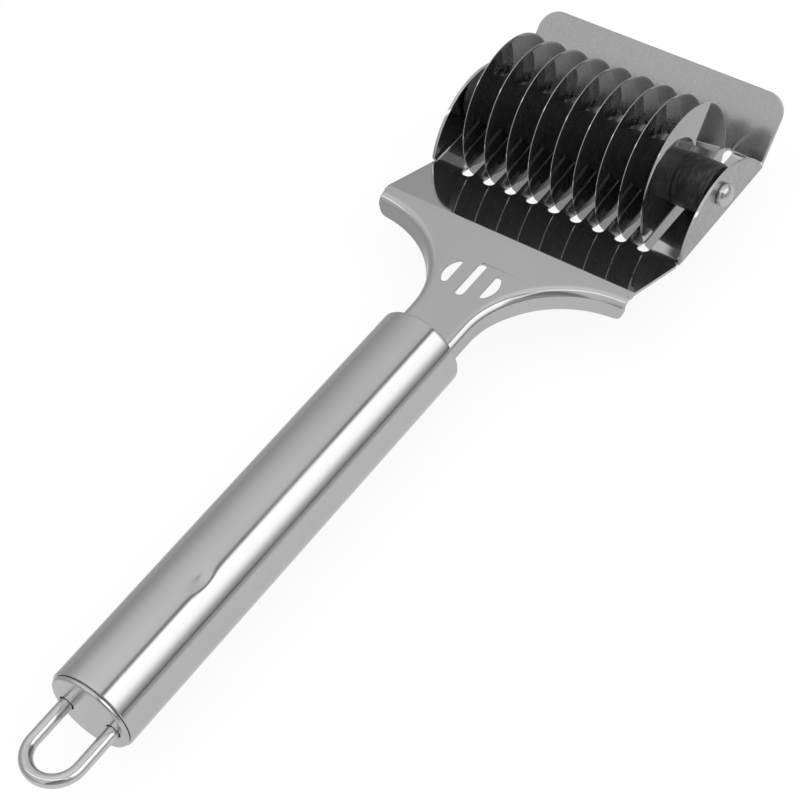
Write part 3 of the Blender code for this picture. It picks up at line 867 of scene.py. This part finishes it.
tube_finish, shader, place = finish_of("satin_tube_steel", shade=0.56, roughness=0.14, metallic=1)
from_end = moved(place, head_end)
haze = noise(from_end, 60, 3, 0.5)
drawn = noise(moved(from_end, scale=(1, 0.02, 1)), 2400, 3, 0.6)
marks = noise(moved(from_end, scale=(1, 0.35, 1)), 900, 5, 0.7)
feed(shader, "Base Color", grey(0.51 + haze * 0.05))
feed(shader, "Roughness", 0.11 + haze.rise(0.35, 0.75) * 0.05 + marks.rise(0.6, 0.8) * 0.12)
feed(shader, "Normal", bump(drawn * 0.6 + marks * 0.4, depth=0.000004))
piece("tube_handle", tube, "frame", ["handle_tube"], tube_finish)


# Plug
# A moulded plug inside the tube grips the tang of the neck. Only its dark end shows, deep in the tube,
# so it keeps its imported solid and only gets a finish.
plug_finish, shader, place = finish_of("grey_nylon", shade=0.05, roughness=0.6, metallic=0)
speckle = noise(place, 1200, 2, 0.5)
feed(shader, "Base Color", grey(0.04 + speckle * 0.02))
feed(shader, "Roughness", 0.5 + speckle * 0.2)
feed(shader, "Normal", bump(speckle, depth=0.00002, strength=0.5))
plug_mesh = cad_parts["tang_plug"].data
plug_mesh.materials.clear()
plug_mesh.materials.append(plug_finish)


# End cap
# A turned steel cap closes the tube. It has a flat face, a rounded rim and two holes for the loop, and
# its hollow spigot is pressed into the tube.
cap_low, cap_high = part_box("end_cap")
cap_radius = (cap_high.x - cap_low.x) / 2
cap_face = tube_high.y - cap_low.y
cap_thickness = 0.0010
cap_fillet = 0.0006
cap_web = 0.0020
cap_wall = 0.0006
cap_edge_round = 0.0001
cap_sides = 128
cap_rim_steps = 8
spigot_room = 0.0001
spigot = tube_radius - tube_wall - spigot_room
spigot_end = cap_face - (cap_high.y - cap_low.y)
loop_low, loop_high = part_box("hang_loop")
wire_radius = 0.0016
wire_hole_room = 0.0003
wire_hole = wire_radius + wire_hole_room
foot_flare = 0.0002
foot_radius = wire_hole + foot_flare
leg_half = (loop_high.x - loop_low.x) / 2 - foot_radius
loop_height = (loop_low.z + loop_high.z) / 2

rim_centre = (cap_radius - cap_fillet, cap_face - cap_fillet)
cap_rim = arc(rim_centre, cap_fillet, math.pi / 2, 0, cap_rim_steps)
cap_profile = [
    (0, cap_face),
    *cap_rim,
    (cap_radius, cap_face - cap_thickness),
    (spigot, cap_face - cap_thickness),
    (spigot, spigot_end),
    (spigot - cap_wall, spigot_end),
    (spigot - cap_wall, cap_face - cap_web),
    (0, cap_face - cap_web),
]
cap = added("cap_shaping", lathe("end_cap", cap_profile, cap_sides, closed=False))
wire_holes = bmesh.new()
for side in (-1, 1):
    hole_centre = (side * leg_half, loop_height - tube_axis.z)
    outline = arc(hole_centre, wire_hole, 0, 2 * math.pi, hole_sides)[:-1]
    add_prism(wire_holes, outline, cap_face - 2 * cap_web, cap_face + cut_overrun)
wire_hole_cutter = cutter_object("wire_hole_cutter", wire_holes)
cut_away(cap, wire_hole_cutter)
soften_edges(cap, cap_edge_round, math.radians(60))
cap_solid = finished_mesh(cap, wire_hole_cutter)
cap_solid.transform(along_handle)

cap_finish, shader, place = finish_of("satin_cap_steel", shade=0.54, roughness=0.22, metallic=1)
cap_place = moved(place, tube_axis)
cap_haze = noise(cap_place, 260, 4, 0.6)
cap_marks = noise(moved(cap_place, scale=(0.12, 1, 1)), 2600, 4, 0.65)
feed(shader, "Base Color", grey(0.50 + cap_haze * 0.08))
feed(shader, "Roughness", 0.16 + cap_haze * 0.12 + cap_marks.rise(0.5, 0.8) * 0.08)
feed(shader, "Normal", bump(cap_marks, depth=0.000004))
piece("end_cap_face", cap_solid, "frame", ["end_cap"], cap_finish)


# Hanging loop
# Round polished stainless wire bent into a U, by which the cutter hangs. Its legs slide in the cap's
# holes, and swaged feet keep them in.
loop_end = tube_high.y - loop_low.y - wire_radius
bend_centre = loop_end - leg_half
foot_room = 0.0003
foot_top = cap_face - cap_web - foot_room
foot_end = tube_high.y - loop_high.y
loop_steps = 48
wire_sides = 32


def wire_mesh(name, stops, sides, finish):
    """A round wire through (point, radius) stops, made by Geometry Nodes from a curve."""
    path = bpy.data.curves.new(name, "CURVE")
    path.dimensions = "3D"
    spline = path.splines.new("POLY")
    spline.points.add(len(stops) - 1)
    for point, (spot, radius) in zip(spline.points, stops):
        point.co = (*spot, 1)
        point.radius = radius
    nodes = bpy.data.node_groups.new(name, "GeometryNodeTree")
    nodes.interface.new_socket("Path", in_out="INPUT", socket_type="NodeSocketGeometry")
    inputs = {}
    for label, kind in (("Sides", "Int"), ("Finish", "Material")):
        made = nodes.interface.new_socket(label, in_out="INPUT", socket_type=f"NodeSocket{kind}")
        inputs[label] = made.identifier
    nodes.interface.new_socket("Wire", in_out="OUTPUT", socket_type="NodeSocketGeometry")
    given = nodes.nodes.new("NodeGroupInput")
    section = nodes.nodes.new("GeometryNodeCurvePrimitiveCircle")
    section.inputs["Radius"].default_value = 1
    swept = nodes.nodes.new("GeometryNodeCurveToMesh")
    swept.inputs["Fill Caps"].default_value = True
    thickness = nodes.nodes.new("GeometryNodeInputRadius")
    solid = nodes.nodes.new("GeometryNodeRealizeInstances")
    coat = nodes.nodes.new("GeometryNodeSetMaterial")
    result = nodes.nodes.new("NodeGroupOutput")
    for source, target in (
        (given.outputs["Sides"], section.inputs["Resolution"]),
        (given.outputs["Path"], swept.inputs["Curve"]),
        (section.outputs["Curve"], swept.inputs["Profile Curve"]),
        (thickness.outputs["Radius"], swept.inputs["Scale"]),
        (swept.outputs["Mesh"], solid.inputs["Geometry"]),
        (solid.outputs["Geometry"], coat.inputs["Geometry"]),
        (given.outputs["Finish"], coat.inputs["Material"]),
        (coat.outputs["Geometry"], result.inputs["Wire"]),
    ):
        nodes.links.new(source, target)
    carrier = added(name, path)
    modifier = carrier.modifiers.new(name, "NODES")
    modifier.node_group = nodes
    modifier[inputs["Sides"]] = sides
    modifier[inputs["Finish"]] = finish
    return finished_mesh(carrier)


wire_finish, shader, place = finish_of("polished_wire_steel", shade=0.60, roughness=0.12, metallic=1)
wire_haze = noise(place, 500, 3, 0.6)
feed(shader, "Base Color", grey(0.57 + wire_haze * 0.06))
feed(shader, "Roughness", 0.08 + wire_haze.rise(0.4, 0.8) * 0.10)
feed(shader, "Normal", bump(noise(place, 3000, 2, 0.5), depth=0.000003))

drop = loop_height - tube_axis.z
step_off = 0.00001
left_leg = [(foot_end, foot_radius), (foot_top, foot_radius), (foot_top + step_off, wire_radius)]
stops = [((-leg_half, drop, height), radius) for height, radius in left_leg]
for x, height in reversed(arc((0, bend_centre), leg_half, 0, math.pi, loop_steps)):
    stops.append(((x, drop, height), wire_radius))
stops += [((leg_half, drop, height), radius) for height, radius in reversed(left_leg)]
loop = wire_mesh("wire_loop", stops, wire_sides, wire_finish)
loop.transform(along_handle)
piece("wire_loop", loop, "loop", ["hang_loop"])
